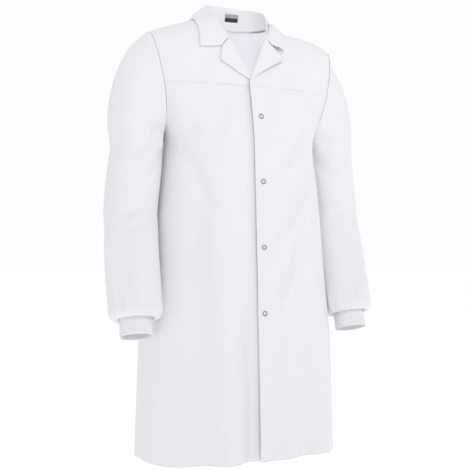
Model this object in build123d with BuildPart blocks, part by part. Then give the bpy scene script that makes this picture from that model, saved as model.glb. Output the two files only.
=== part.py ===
"""A knee-length laboratory coat with ring snaps, a notched collar and knitted cuffs.

Millimetres. +Z is up, the coat faces -Y and the wearer's left is +X. The origin is the
centre of the neck opening, at the height where the collar joins the shoulders.
"""
import os
from math import cos, pi, radians, sin

from build123d import *

os.makedirs("parts", exist_ok=True)

# cloth and clearances
CLOTH = 1.2                # thickness of one ply
PLY_GAP = 0.3              # air between plies that lie on each other
BODY_GAP = 0.4             # air on each side of a cut between two moving bodies
SNAP_ROOM = 3.6            # room that a fastened snap holds between the two fronts

# the coat's body
HEM_Z = -1015.0
YOKE_Z = -165.0            # seam between the yokes and the panels
NECK_TOP_Z = 8.0
ROUNDNESS = 2.4            # exponent of the body's section: 2 is an ellipse
SECTION_POINTS = 20
FRONT_LAP = 22.0           # how far each front passes the centre line
FACING_WIDTH = 60.0
SIDE_SEAM_Y = 0.0
SHOULDER_FLAT_Z = -60.0    # above this height the plies are stacked downwards too

# height, half width, half depth, centre y of the body's outer surface
BODY_SECTIONS = (
    (HEM_Z, 246, 150, -2),
    (-760, 236, 148, 0),
    (-560, 215, 146, 2),
    (-400, 200, 142, 2),
    (-290, 188, 136, 0),
    (-220, 214, 124, -2),
    (-150, 246, 108, -4),
    (-100, 256, 96, -6),
    (-62, 250, 86, -6),
    (-47, 238, 82, -5),
    (-20, 172, 74, -3),
    (-4, 121, 69, -2),
    (NECK_TOP_Z, 78, 64, 0),
)

# neck, collar and lapels
V_BOTTOM = (-20.0, -150.0)  # x and z where the two roll lines cross
LEFT_ROLL_TOP = (60.0, 10.0)
RIGHT_ROLL_TOP = (-76.0, -34.0)
NECK_FRONT_X = 62.0        # front ends of the collar beside the neck
NECK_FRONT_Z = 12.0
# the lapels' outlines, as distances along the roll line and out from it: tip, notch and gorge
LEFT_LAPEL = ((88, 57), (107, 18), (113, 0))
RIGHT_LAPEL = ((68, 46), (94, 22), (103, 0))
LEFT_COLLAR_TIP = (80, -72)
RIGHT_COLLAR_TIP = (-133, -80)
COLLAR_SIDE_X = 122.0      # the leaf's edge on the shoulder
LEAF_SHOULDER_Z = 10.0
COLLAR_BACK_Y = 84.0       # half depth of the leaf's edge round the back
COLLAR_SEAM_Y = -4.0       # where the leaf's front and back outlines meet
STAND_SECTIONS = ((NECK_TOP_Z + 1, 76, 62, 0), (45, 69, 56, 4))
LEAF_SECTIONS = (
    (47, 71.5, 58.5, 4),
    (28, 84, 70, 1),
    (15, 104, 77, 0),
    (1, 132, 83, -1),
    (-16, 184, 90, -2),
    (-43, 252, 98, -4),
    (-62, 262, 102, -5),
    (-100, 268, 111, -5),
)
LAPEL_LIFT = 0.6           # air under a lapel
GORGE_GAP = 3.0            # air between a lapel's top edge and the collar
ROLL_LINE_OUT = 2.5        # how far a lapel's hinge line stands outside it

# armhole and sleeves; the right sleeve mirrors the left one
ARMHOLE_TOP = (222.0, -47.0)
ARMHOLE_BOTTOM = (192.0, -285.0)
ARMHOLE_CUT_Z = -290.0
CAP_PIVOT = (193.2, -292.0)
# angle from upright, near and far reach from the pivot, half depth
CAP_SECTIONS = (
    (7.2, 8, 244, 60),
    (18, 7, 230, 62),
    (33, 6, 203, 63),
    (50, 4, 160, 63),
    (70, 2, 137, 62),
)
SLEEVE_Y = -4.0
UPPER_SECTIONS = ((-292, 256, 62), (-360, 263, 62))
ELBOW_Z = -450.0
ELBOW_X = 271.0
SLEEVE_RADIUS = 62.0
WRIST = (277.0, -76.0, -692.0)
GATHER_LENGTH = 26.0
SLEEVE_END_RADIUS = 58.0
CUFF_RADIUS = 36.5
CUFF_LENGTH = 46.0
CUFF_INSET = 8.0
CUFF_WALL = 2.4

# ring snaps down the centre line
SNAP_TOP_Z = -235.0
SNAP_PITCH = 149.0
SLOPE_SPAN = 4.0           # height over which the cloth's slope at a snap is read
RING_RADIUS = 5.6
RING_HOLE_RADIUS = 3.3
RING_THICKNESS = 1.0
SOCKET_RADIUS = 5.3
SOCKET_BORE_RADIUS = 3.4
SOCKET_THICKNESS = 1.7
STUD_RADIUS = 1.8
STUD_BASE_THICKNESS = 0.8
STUD_LENGTH = 1.5
SNAP_CLEARANCE = 0.15

# lines on which the fronts fold open: top and hem ends as x, z, distance outside the cloth
LEFT_FOLD = ((-FRONT_LAP, -250.0, 14.5), (200.0, HEM_Z, 45.0))
RIGHT_FOLD = ((FRONT_LAP, -420.0, 4.0), (-150.0, HEM_Z, 26.0))

# neck label
LABEL_X = 12.0
LABEL_WIDTH = 36.0
LABEL_HEIGHT = 28.0
LABEL_TOP_Z = 42.0

FAR = 700.0                # larger than the coat, for cutting tools
END_OVERRUN = 12.0         # how far a bore runs out past the wall round it

LEFT_PLY = 0.0
LEFT_FACING_PLY = CLOTH + PLY_GAP
RIGHT_PLY = 2 * (CLOTH + PLY_GAP) + SNAP_ROOM
RIGHT_FACING_PLY = RIGHT_PLY + CLOTH + PLY_GAP
LAPEL_PLY = -(LAPEL_LIFT + CLOTH)


def rounded_section(half_width, half_depth, centre_y, exponent=ROUNDNESS):
    """Points round a superellipse, which is boxier than an ellipse."""
    points = []
    for i in range(SECTION_POINTS):
        angle = 2 * pi * i / SECTION_POINTS
        c = cos(angle)
        s = sin(angle)
        x = half_width * abs(c) ** (2 / exponent) * (1 if c >= 0 else -1)
        y = half_depth * abs(s) ** (2 / exponent) * (1 if s >= 0 else -1)
        points.append((x, centre_y + y))
    return points


def stacked_solid(sections, inset, overrun=0.0):
    """A solid through level sections, each drawn in by the inset; it can run past both ends."""
    rows = sorted(sections)
    first = rows[0]
    last = rows[-1]
    levels = []
    for height, half_width, half_depth, centre_y in rows:
        drop = inset if height > SHOULDER_FLAT_Z else 0
        levels.append((height - drop, half_width, half_depth, centre_y))
    if overrun:
        levels.insert(0, (first[0] - overrun, *first[1:]))
        levels.append((last[0] + overrun, *last[1:]))
    with BuildPart() as solid:
        for height, half_width, half_depth, centre_y in levels:
            with BuildSketch(Plane.XY.offset(height)):
                with BuildLine():
                    outline = rounded_section(half_width - inset, half_depth - inset, centre_y)
                    Spline(*outline, periodic=True)
                make_face()
        loft(ruled=True)
    return solid.part


def shell_of(sections, inset, thickness):
    """The wall between a lofted solid and a smaller one that runs out past both ends."""
    with BuildPart() as shell:
        add(stacked_solid(sections, inset))
        add(stacked_solid(sections, inset + thickness, END_OVERRUN), mode=Mode.SUBTRACT)
    return shell.part


def surface_y(x, z, front=True):
    """Y of the body's outer surface at a given place, by straight interpolation."""
    rows = sorted(BODY_SECTIONS)
    for low, high in zip(rows, rows[1:]):
        if low[0] <= z <= high[0]:
            t = (z - low[0]) / (high[0] - low[0])
            half_width, half_depth, centre_y = (low[k] + t * (high[k] - low[k]) for k in (1, 2, 3))
            reach = half_depth * (1 - abs(x / half_width) ** ROUNDNESS) ** (1 / ROUNDNESS)
            return centre_y - reach if front else centre_y + reach
    raise ValueError("height outside the coat")


def keep_prism(outline_xz, near_y, far_y):
    """A prism from an outline in x and z, running from near_y to far_y."""
    with BuildPart() as prism:
        with BuildSketch(Plane.XZ.offset(-near_y)):
            with BuildLine():
                Polyline(*outline_xz, close=True)
            make_face()
        extrude(amount=-(far_y - near_y))
    return prism.part


def cut_piece(name, source, keep, remove=()):
    """One panel: the source wall, kept inside some prisms and cut away by others."""
    with BuildPart() as piece:
        add(source)
        for tool in keep:
            add(tool, mode=Mode.INTERSECT)
        for tool in remove:
            add(tool, mode=Mode.SUBTRACT)
    piece.part.label = name
    export_step(piece.part, f"parts/{name}.step")
    return piece.part


def fold_line(fold, inset):
    """The two ends of a fold line, each a distance outside the cloth along its normal."""
    ends = []
    for x, z, distance in fold:
        y = surface_y(x, z)
        slope = (surface_y(x + 1, z) - surface_y(x - 1, z)) / 2
        normal = Vector(slope, -1, 0).normalized()
        ends.append(Vector(x, y, z) + normal * (distance - inset))
    return ends


def fold_side(fold, inset, towards_x, margin):
    """A block on one side of the plane through a fold line, square to the cloth."""
    top, bottom = fold_line(fold, inset)
    along = (bottom - top).normalized()
    middle = (top + bottom) / 2
    slope = (surface_y(middle.X + 1, middle.Z) - surface_y(middle.X - 1, middle.Z)) / 2
    outward = Vector(slope, -1, 0)
    side = along.cross(outward).normalized()
    if side.X * towards_x < 0:
        side = -side
    plane = Plane(origin=middle + side * margin, x_dir=along, z_dir=side)
    with BuildPart() as block:
        with BuildSketch(plane):
            Rectangle(3 * FAR, 3 * FAR)
        extrude(amount=2 * FAR)
    return block.part


def mirrored(part):
    """The same piece on the other side of the coat."""
    return part.mirror(Plane.YZ)


def export_pair(left_name, right_name, left_part):
    """Write a left piece and its mirror image."""
    right_part = mirrored(left_part)
    left_part.label = left_name
    right_part.label = right_name
    export_step(left_part, f"parts/{left_name}.step")
    export_step(right_part, f"parts/{right_name}.step")


# cutting tools shared by the panels
front_half = keep_prism([(-FAR, -2 * FAR), (FAR, -2 * FAR), (FAR, FAR), (-FAR, FAR)], -FAR, SIDE_SEAM_Y)
back_half = keep_prism([(-FAR, -2 * FAR), (FAR, -2 * FAR), (FAR, FAR), (-FAR, FAR)], SIDE_SEAM_Y, FAR)
above_yoke_seam = keep_prism([(-FAR, YOKE_Z), (FAR, YOKE_Z), (FAR, FAR), (-FAR, FAR)], -FAR, FAR)
below_yoke_seam = keep_prism([(-FAR, -2 * FAR), (FAR, -2 * FAR), (FAR, YOKE_Z), (-FAR, YOKE_Z)], -FAR, FAR)

v_opening = keep_prism(
    [
        V_BOTTOM,
        LEFT_ROLL_TOP,
        (NECK_FRONT_X, NECK_FRONT_Z),
        (NECK_FRONT_X, FAR),
        (-NECK_FRONT_X, FAR),
        (-NECK_FRONT_X, NECK_FRONT_Z),
        RIGHT_ROLL_TOP,
    ],
    -FAR,
    SIDE_SEAM_Y,
)

armhole_slope = (ARMHOLE_TOP[0] - ARMHOLE_BOTTOM[0]) / (ARMHOLE_TOP[1] - ARMHOLE_BOTTOM[1])
armhole_low_x = ARMHOLE_BOTTOM[0] + armhole_slope * (ARMHOLE_CUT_Z - ARMHOLE_BOTTOM[1])
armhole_high_x = ARMHOLE_TOP[0] - armhole_slope * ARMHOLE_TOP[1]
left_armhole = keep_prism(
    [(armhole_low_x, ARMHOLE_CUT_Z), (FAR, ARMHOLE_CUT_Z), (FAR, 0), (armhole_high_x, 0)], -FAR, FAR
)
right_armhole = mirrored(left_armhole)
armholes = (left_armhole, right_armhole)

left_of_lap = keep_prism([(-FRONT_LAP, -2 * FAR), (FAR, -2 * FAR), (FAR, FAR), (-FRONT_LAP, FAR)], -FAR, FAR)
right_of_lap = mirrored(left_of_lap)
clear_of_left = -FRONT_LAP - BODY_GAP
right_yoke_side = keep_prism(
    [(-FAR, -2 * FAR), (clear_of_left, -2 * FAR), (clear_of_left, FAR), (-FAR, FAR)], -FAR, FAR
)
facing_edge = FACING_WIDTH - FRONT_LAP
facing_top_z = YOKE_Z + 0.5
left_facing_strip = keep_prism(
    [(-FRONT_LAP, -2 * FAR), (facing_edge, -2 * FAR), (facing_edge, facing_top_z), (-FRONT_LAP, facing_top_z)],
    -FAR,
    SIDE_SEAM_Y,
)
right_facing_strip = mirrored(left_facing_strip)

outer_shell = shell_of(BODY_SECTIONS, LEFT_PLY, CLOTH)
left_facing_shell = shell_of(BODY_SECTIONS, LEFT_FACING_PLY, CLOTH)
right_shell = shell_of(BODY_SECTIONS, RIGHT_PLY, CLOTH)
right_facing_shell = shell_of(BODY_SECTIONS, RIGHT_FACING_PLY, CLOTH)
lapel_shell = shell_of(BODY_SECTIONS, LAPEL_PLY, CLOTH)

# back and yokes
cut_piece("back_panel", outer_shell, (back_half, below_yoke_seam), armholes)
cut_piece("back_yoke", outer_shell, (back_half, above_yoke_seam), armholes)
cut_piece("left_front_yoke", outer_shell, (front_half, above_yoke_seam, left_of_lap), (v_opening, left_armhole))
cut_piece(
    "right_front_yoke", outer_shell, (front_half, above_yoke_seam, right_yoke_side), (v_opening, right_armhole)
)

# left front, which laps over the right one, in a fixed side and a part that folds open
left_fixed_side = fold_side(LEFT_FOLD, LEFT_PLY, 1, BODY_GAP)
left_free_side = fold_side(LEFT_FOLD, LEFT_PLY, -1, BODY_GAP)
left_panel = (front_half, below_yoke_seam, left_of_lap)
cut_piece("left_front_side", outer_shell, (*left_panel, left_fixed_side), (left_armhole,))
cut_piece("left_front_flap", outer_shell, (*left_panel, left_free_side))
cut_piece("left_facing_top", left_facing_shell, (left_facing_strip, left_fixed_side))
cut_piece("left_facing_bottom", left_facing_shell, (left_facing_strip, left_free_side))

# right front, under the left one
right_fixed_side = fold_side(RIGHT_FOLD, RIGHT_PLY, -1, BODY_GAP)
right_free_side = fold_side(RIGHT_FOLD, RIGHT_PLY, 1, BODY_GAP)
right_panel = (front_half, below_yoke_seam, right_of_lap)
cut_piece("right_front_side", right_shell, (*right_panel, right_fixed_side), (right_armhole,))
cut_piece("right_front_flap", right_shell, (*right_panel, right_free_side))
cut_piece("right_facing_top", right_facing_shell, (right_facing_strip, right_fixed_side))
cut_piece("right_facing_bottom", right_facing_shell, (right_facing_strip, right_free_side))

# lapels, folded back on the fronts


def roll_point(roll_top, outward, along, out):
    """X and z of a point given along a roll line and out from it."""
    roll = Vector(roll_top[0] - V_BOTTOM[0], roll_top[1] - V_BOTTOM[1]).normalized()
    side = Vector(roll.Y, -roll.X) * outward
    return (V_BOTTOM[0] + roll.X * along + side.X * out, V_BOTTOM[1] + roll.Y * along + side.Y * out)


def lapel_points(roll_top, outward, outline):
    """The four corners of a lapel, from the foot of its roll line round to the gorge."""
    corners = ((0, 0), *outline)
    return [roll_point(roll_top, outward, along, out) for along, out in corners]


left_lapel_points = lapel_points(LEFT_ROLL_TOP, 1, LEFT_LAPEL)
right_lapel_points = lapel_points(RIGHT_ROLL_TOP, -1, RIGHT_LAPEL)
left_lapel_points[0] = (V_BOTTOM[0] + BODY_GAP, V_BOTTOM[1])
right_lapel_points[0] = (V_BOTTOM[0] - BODY_GAP, V_BOTTOM[1])
cut_piece("left_lapel", lapel_shell, (keep_prism(left_lapel_points, -FAR, SIDE_SEAM_Y),))
cut_piece("right_lapel", lapel_shell, (keep_prism(right_lapel_points, -FAR, SIDE_SEAM_Y),))

# collar: a stand round the neck and a leaf that falls from its top edge
stand_shell = shell_of(STAND_SECTIONS, 0, CLOTH)
cut_piece("collar_stand", stand_shell, (), (v_opening,))
leaf_shell = shell_of(LEAF_SECTIONS, 0, CLOTH)


def leaf_front(lapel, tip, roll_top, side):
    """The front half of the collar leaf on one side, from the gorge seam to the shoulder."""
    outline = [
        (lapel[3][0], lapel[3][1] + GORGE_GAP),
        (lapel[2][0], lapel[2][1] + GORGE_GAP),
        tip,
        (side * COLLAR_SIDE_X, LEAF_SHOULDER_Z),
        (side * COLLAR_SIDE_X, FAR),
        (side * NECK_FRONT_X, FAR),
        (side * NECK_FRONT_X, NECK_FRONT_Z),
        roll_top,
    ]
    return keep_prism(outline, -FAR, COLLAR_SEAM_Y)


left_leaf_front = leaf_front(left_lapel_points, LEFT_COLLAR_TIP, LEFT_ROLL_TOP, 1)
right_leaf_front = leaf_front(right_lapel_points, RIGHT_COLLAR_TIP, RIGHT_ROLL_TOP, -1)
with BuildPart() as leaf_region:
    with BuildSketch(Plane.XY.offset(-FAR)):
        Ellipse(COLLAR_SIDE_X, COLLAR_BACK_Y)
    extrude(amount=2 * FAR)
    split(bisect_by=Plane.XZ.offset(-COLLAR_SEAM_Y), keep=Keep.BOTTOM)
    add(left_leaf_front)
    add(right_leaf_front)
cut_piece("collar_leaf", leaf_shell, (leaf_region.part,))

# blank label inside the back of the neck
label_wall = shell_of(STAND_SECTIONS, CLOTH + PLY_GAP, CLOTH / 2)
label_box = keep_prism(
    [
        (LABEL_X - LABEL_WIDTH / 2, LABEL_TOP_Z - LABEL_HEIGHT),
        (LABEL_X + LABEL_WIDTH / 2, LABEL_TOP_Z - LABEL_HEIGHT),
        (LABEL_X + LABEL_WIDTH / 2, LABEL_TOP_Z),
        (LABEL_X - LABEL_WIDTH / 2, LABEL_TOP_Z),
    ],
    SIDE_SEAM_Y,
    FAR,
)
cut_piece("neck_label", label_wall, (label_box,))


def sleeve_loft(planes_and_radii, inset, overrun=0.0):
    """A solid through ellipses on leaning planes; it can run past both ends."""
    rows = list(planes_and_radii)
    if overrun:
        first = rows[0]
        last = rows[-1]
        rows.insert(0, (first[0].offset(-overrun), *first[1:]))
        rows.append((last[0].offset(overrun), *last[1:]))
    faces = []
    for plane, half_x, half_y in rows:
        with BuildSketch(plane) as section:
            with BuildLine():
                Spline(*rounded_section(half_x - inset, half_y - inset, 0, 2), periodic=True)
            make_face()
        faces.append(section.sketch.faces()[0])
    with BuildPart() as solid:
        for lower, upper in zip(faces, faces[1:]):
            loft(sections=[lower, upper], ruled=True)
    return solid.part


def sleeve_tube(left_name, right_name, planes_and_radii):
    """A hollow sleeve piece and its mirror image; the bore runs out past both ends."""
    with BuildPart() as tube:
        add(sleeve_loft(planes_and_radii, 0))
        add(sleeve_loft(planes_and_radii, CLOTH, END_OVERRUN), mode=Mode.SUBTRACT)
    export_pair(left_name, right_name, tube.part)


upper_planes = []
for angle, near, far, half_depth in CAP_SECTIONS:
    reach = Vector(sin(radians(angle)), 0, cos(radians(angle)))
    travel = Vector(cos(radians(angle)), 0, -sin(radians(angle)))
    centre = Vector(CAP_PIVOT[0], SLEEVE_Y, CAP_PIVOT[1]) + reach * ((near + far) / 2)
    upper_planes.append((Plane(origin=centre, x_dir=reach, z_dir=travel), (far - near) / 2, half_depth))
for height, centre_x, radius in UPPER_SECTIONS:
    plane = Plane(origin=(centre_x, SLEEVE_Y, height), x_dir=(1, 0, 0), z_dir=(0, 0, -1))
    upper_planes.append((plane, radius, radius))
elbow_plane = Plane(origin=(ELBOW_X, SLEEVE_Y, ELBOW_Z + BODY_GAP), x_dir=(1, 0, 0), z_dir=(0, 0, -1))
upper_planes.append((elbow_plane, SLEEVE_RADIUS, SLEEVE_RADIUS))
sleeve_tube("left_upper_sleeve", "right_upper_sleeve", upper_planes)

elbow = Vector(ELBOW_X, SLEEVE_Y, ELBOW_Z)
wrist = Vector(*WRIST)
forearm_length = (wrist - elbow).length
lean = (wrist - elbow).normalized()
across = Vector(1, 0, 0)


def forearm_plane(distance, turn=1.0):
    """A plane across the forearm at a distance from the elbow."""
    normal = Vector(lean.X * turn, lean.Y * turn, lean.Z).normalized()
    x_dir = (across - normal * across.dot(normal)).normalized()
    return Plane(origin=elbow + lean * distance, x_dir=x_dir, z_dir=normal)


gather_start = forearm_length - GATHER_LENGTH
elbow_end = Plane(origin=elbow - Vector(0, 0, BODY_GAP), x_dir=(1, 0, 0), z_dir=(0, 0, -1))
forearm_planes = [
    (elbow_end, SLEEVE_RADIUS, SLEEVE_RADIUS),
    (forearm_plane(60, 0.7), SLEEVE_RADIUS, SLEEVE_RADIUS),
    (forearm_plane(140), 60.5, 60.5),
    (forearm_plane(gather_start), SLEEVE_END_RADIUS, SLEEVE_END_RADIUS),
    (forearm_plane(forearm_length - 8), 48, 48),
    (forearm_plane(forearm_length), CUFF_RADIUS + 2.0, CUFF_RADIUS + 2.0),
]
sleeve_tube("left_lower_sleeve", "right_lower_sleeve", forearm_planes)

with BuildPart() as cuff:
    with BuildSketch(forearm_plane(forearm_length - CUFF_INSET)):
        Circle(CUFF_RADIUS)
        Circle(CUFF_RADIUS - CUFF_WALL, mode=Mode.SUBTRACT)
    extrude(amount=CUFF_LENGTH)
    fillet(cuff.edges().filter_by(GeomType.CIRCLE).group_by(Axis.Z)[0], 0.9)
export_pair("left_cuff", "right_cuff", cuff.part)


def snap_plane(index, inset):
    """A plane on the cloth at one snap, facing outwards and leaning as the cloth does there."""
    z = SNAP_TOP_Z - index * SNAP_PITCH
    rise = surface_y(0, z + SLOPE_SPAN) - surface_y(0, z - SLOPE_SPAN)
    outward = Vector(0, -1, rise / (2 * SLOPE_SPAN)).normalized()
    origin = Vector(0, surface_y(0, z), z) - outward * inset
    return Plane(origin=origin, x_dir=(1, 0, 0), z_dir=outward)


def snap_group(name, indexes, layers):
    """Equal snap parts in one node, each its own solid, from discs stacked inwards or outwards."""
    with BuildPart() as group:
        for index in indexes:
            for depth, amount, radius, bore in layers:
                with BuildSketch(snap_plane(index, depth)):
                    Circle(radius)
                    if bore:
                        Circle(bore, mode=Mode.SUBTRACT)
                extrude(amount=amount)
    group.part.label = name
    export_step(group.part, f"parts/{name}.step")


air = SNAP_CLEARANCE * 4
stud_depth = RIGHT_PLY - air
ring_layers = [(-air, RING_THICKNESS, RING_RADIUS, RING_HOLE_RADIUS)]
socket_layers = [(LEFT_FACING_PLY + CLOTH + air, -SOCKET_THICKNESS, SOCKET_RADIUS, SOCKET_BORE_RADIUS)]
stud_layers = [
    (stud_depth, STUD_BASE_THICKNESS, SOCKET_RADIUS, 0),
    (stud_depth - STUD_BASE_THICKNESS, STUD_LENGTH, STUD_RADIUS, 0),
]
back_ring_layers = [(RIGHT_FACING_PLY + CLOTH + air, -RING_THICKNESS, RING_RADIUS, RING_HOLE_RADIUS)]

# the top snap stays fastened; the left front carries the caps and sockets of the others,
# and the folding part of the right front carries the two lowest studs
snap_group("top_snap_cap", (0,), ring_layers)
snap_group("lower_snap_caps", (1, 2, 3), ring_layers)
snap_group("top_snap_socket", (0,), socket_layers)
snap_group("lower_snap_sockets", (1, 2, 3), socket_layers)
snap_group("upper_snap_studs", (0, 1), stud_layers)
snap_group("lower_snap_studs", (2, 3), stud_layers)
snap_group("upper_snap_back_rings", (0, 1), back_ring_layers)
snap_group("lower_snap_back_rings", (2, 3), back_ring_layers)

for side_name, fold, ply in (("left", LEFT_FOLD, LEFT_PLY), ("right", RIGHT_FOLD, RIGHT_PLY)):
    top, bottom = fold_line(fold, ply)
    direction = (bottom - top).normalized()
    print(side_name, "fold line:", [round(v, 2) for v in top], [round(v, 5) for v in direction])
for side_name, points in (("left", left_lapel_points), ("right", right_lapel_points)):
    foot, head = (Vector(x, surface_y(x, z) + LAPEL_PLY - ROLL_LINE_OUT, z) for x, z in (points[0], points[3]))
    direction = (head - foot).normalized()
    print(side_name, "roll line:", [round(v, 2) for v in foot], [round(v, 5) for v in direction])
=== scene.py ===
"""A white laboratory coat: panels, yokes, sleeves, collar, lapels, cuffs and ring snaps.

Shapes are worked out in millimetres in the shared frame (+Z up, the coat faces -Y, the
wearer's left is +X, the origin is the centre of the neck opening) and made in metres.
"""
from math import cos, pi, radians, sin, sqrt

import bpy
import numpy as np
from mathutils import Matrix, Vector
from mathutils.bvhtree import BVHTree


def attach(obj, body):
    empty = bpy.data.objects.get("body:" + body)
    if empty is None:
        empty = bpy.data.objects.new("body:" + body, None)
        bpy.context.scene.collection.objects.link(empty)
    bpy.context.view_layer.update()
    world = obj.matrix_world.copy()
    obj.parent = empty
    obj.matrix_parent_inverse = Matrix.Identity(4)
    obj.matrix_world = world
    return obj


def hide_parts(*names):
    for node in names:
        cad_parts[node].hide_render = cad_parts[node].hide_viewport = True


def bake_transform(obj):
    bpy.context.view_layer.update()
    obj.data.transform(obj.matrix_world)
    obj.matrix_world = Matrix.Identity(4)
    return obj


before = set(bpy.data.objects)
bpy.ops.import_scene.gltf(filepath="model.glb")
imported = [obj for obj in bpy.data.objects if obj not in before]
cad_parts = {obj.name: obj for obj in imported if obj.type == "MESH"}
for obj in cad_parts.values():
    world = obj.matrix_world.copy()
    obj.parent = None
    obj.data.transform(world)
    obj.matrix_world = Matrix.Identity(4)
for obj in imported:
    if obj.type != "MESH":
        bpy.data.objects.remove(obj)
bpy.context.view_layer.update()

MM = 0.001

# ---------------------------------------------------------------- the coat's body
HEM_Z = -1015.0
ARMPIT_Z = -290.0
YOKE_Z = -165.0
NECK_Z = 8.0
NECK_HALF = 78.0
ROUND = 2.4
# height, half width, half depth, centre y
SECTIONS = np.array([
    (-1015, 246, 150, -2), (-760, 236, 148, 0), (-560, 215, 146, 2), (-400, 200, 142, 2),
    (-290, 188, 136, 0), (-220, 214, 124, -2), (-150, 246, 108, -4), (-100, 256, 96, -6),
    (-62, 250, 86, -6), (-47, 238, 82, -5), (-20, 172, 74, -3), (-4, 121, 69, -2),
    (NECK_Z, NECK_HALF, 64, 0),
], float)
SHOULDER_TIP_X = 234.0
V_BOTTOM = (-20.0, -150.0)
LEFT_ROLL_TOP = (60.0, 8.0)
RIGHT_ROLL_TOP = (-76.0, -34.0)
LEFT_EDGE_TOP_X = -22.0
LEFT_EDGE_TOP_Z = -154.0
LEFT_EDGE_HEM_X = -13.0
UNDERLAP_X = 22.0
UNDERLAP_TOP_Z = -152.0
LAP_DEPTH = 7.0
LAP_DEPTH_LOW = 12.0
FACING_WIDTH = 60.0
FACING_CLOTH = 0.7
# distances from the front's edge, and how deep the facing lies there
FACING_AT = (1.5, 15, 30, 45, 55, FACING_WIDTH)
FACING_DEPTHS = (1.3, 1.7, 1.8, 1.8, 1.8, 1.5)

LOW_ROWS = 62
CHEST_ROWS = 14
YOKE_ROWS = 16
V_COLS, NECK_COLS, RIDGE_COLS, LAP_COLS, BACK_NECK_COLS = 17, 4, 15, 4, 20
CLOTH = 0.9

SNAP_Z = (-235.0, -384.0, -533.0, -682.0)


def hermite(x, xs, ys):
    """Smooth interpolation that never overshoots its table."""
    h = np.diff(xs)
    d = np.diff(ys) / h
    m = np.zeros_like(ys)
    same = d[:-1] * d[1:] > 0
    m[1:-1][same] = 2 * d[:-1][same] * d[1:][same] / (d[:-1][same] + d[1:][same])
    m[0], m[-1] = d[0], d[-1]
    x = np.clip(x, xs[0], xs[-1])
    i = np.clip(np.searchsorted(xs, x) - 1, 0, len(h) - 1)
    t = (x - xs[i]) / h[i]
    return (
        (1 + 2 * t) * (1 - t) ** 2 * ys[i]
        + t * (1 - t) ** 2 * h[i] * m[i]
        + t * t * (3 - 2 * t) * ys[i + 1]
        + t * t * (t - 1) * h[i] * m[i + 1]
    )


def profile(z):
    """Half width, half depth and centre y of the body at a height."""
    return tuple(hermite(z, SECTIONS[:, 0], SECTIONS[:, k]) for k in (1, 2, 3))


def ridge_z(x):
    """Height of the shoulder line at a distance from the centre."""
    z = np.linspace(-62, NECK_Z, 400)
    a = profile(z)[0]
    return np.interp(abs(x), a[::-1], z[::-1])


def surface(x, z, side):
    """Y of the body's surface; side is -1 in front and 1 at the back."""
    a, b, yc = profile(np.asarray(z, float))
    ratio = np.clip(np.abs(x) / a, 0, 1)
    return yc + side * b * (1 - ratio ** ROUND) ** (1 / ROUND)


def outward(p):
    """Unit normals of the body's surface at an array of points."""
    def level(q):
        a, b, yc = profile(q[..., 2])
        return np.abs(q[..., 0] / a) ** ROUND + np.abs((q[..., 1] - yc) / b) ** ROUND
    step = 0.5
    g = np.stack([
        (level(p + step * axis) - level(p - step * axis)) for axis in np.eye(3)
    ], axis=-1)
    return unit(g)


def unit(v):
    """A vector, or each vector of an array, at length 1."""
    return v / np.linalg.norm(v, axis=-1, keepdims=True)


def lengths(points):
    """Running length of a polyline."""
    step = np.linalg.norm(np.diff(points, axis=0), axis=1)
    return np.concatenate([[0], np.cumsum(step)])


def at_lengths(points, at):
    """Points at given distances along a polyline."""
    run = lengths(points)
    return np.stack([np.interp(at, run, points[:, k]) for k in range(3)], axis=1)


def resample(points, fractions):
    """Points at given fractions of a polyline's length."""
    return at_lengths(points, np.asarray(fractions) * lengths(points)[-1])


def smooth(x, low, high):
    t = np.clip((x - low) / (high - low), 0, 1)
    return t * t * (3 - 2 * t)


def edge_angle(x, z):
    """The section's angle at which the front is at x; -90 degrees is the centre front."""
    a = profile(np.asarray(z, float))[0]
    return -np.arccos(np.sign(x) * (abs(x) / a) ** (ROUND / 2))


def section_arc(z, start, end, count=400):
    a, b, yc = (float(v) for v in profile(np.asarray(z, float)))
    f = np.linspace(start, end, count)
    c, s = np.cos(f), np.sin(f)
    x = a * np.sign(c) * np.abs(c) ** (2 / ROUND)
    y = yc + b * np.sign(s) * np.abs(s) ** (2 / ROUND)
    return np.stack([x, y, np.full(count, z)], axis=1)


def line_on_body(start, end, side, count=160):
    """A line that is straight in x and z, laid on the body."""
    t = (1 - np.cos(np.linspace(0, pi, count))) / 2
    x = start[0] + t * (end[0] - start[0])
    z = start[1] + t * (end[1] - start[1])
    return np.stack([x, surface(x, z, side), z], axis=1)


def ridge_line(x0, x1, count=120):
    x = np.linspace(x0, x1, count)
    z = ridge_z(x)
    return np.stack([x, profile(z)[2], z], axis=1)


def patch(edges, top):
    """A grid of points, hem row first, from one edge of the body to another.

    edges gives the two end angles at a height, and top the points along the upper edge.
    """
    cols = len(top)
    fractions = np.linspace(0, 1, cols)
    rows = []
    for z in np.linspace(HEM_Z, ARMPIT_Z, LOW_ROWS):
        rows.append(resample(section_arc(z, *edges(z)), fractions))
    base = rows[-1]
    side = np.sign(base[:, 1].mean())
    columns = []
    for low, high in zip(base, top):
        seam_t = (YOKE_Z - low[2]) / (high[2] - low[2])
        seam_x = low[0] + seam_t * (high[0] - low[0])
        t = (1 - np.cos(np.linspace(0, pi, 300))) / 2
        x = low[0] + t * (high[0] - low[0])
        z = low[2] + t * (high[2] - low[2])
        path = np.stack([x, surface(x, z, side), z], axis=1)
        path[0], path[-1] = low, high
        split = np.searchsorted(path[:, 2], YOKE_Z)
        middle = np.array([[seam_x, float(surface(seam_x, YOKE_Z, side)), YOKE_Z]])
        chest = resample(np.concatenate([path[:split], middle]), np.linspace(0, 1, CHEST_ROWS + 1))
        yoke = resample(np.concatenate([middle, path[split:]]), np.linspace(0, 1, YOKE_ROWS + 1))
        columns.append(np.concatenate([chest[1:], yoke[1:]]))
    return np.concatenate([np.array(rows), np.array(columns).transpose(1, 0, 2)])


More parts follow.
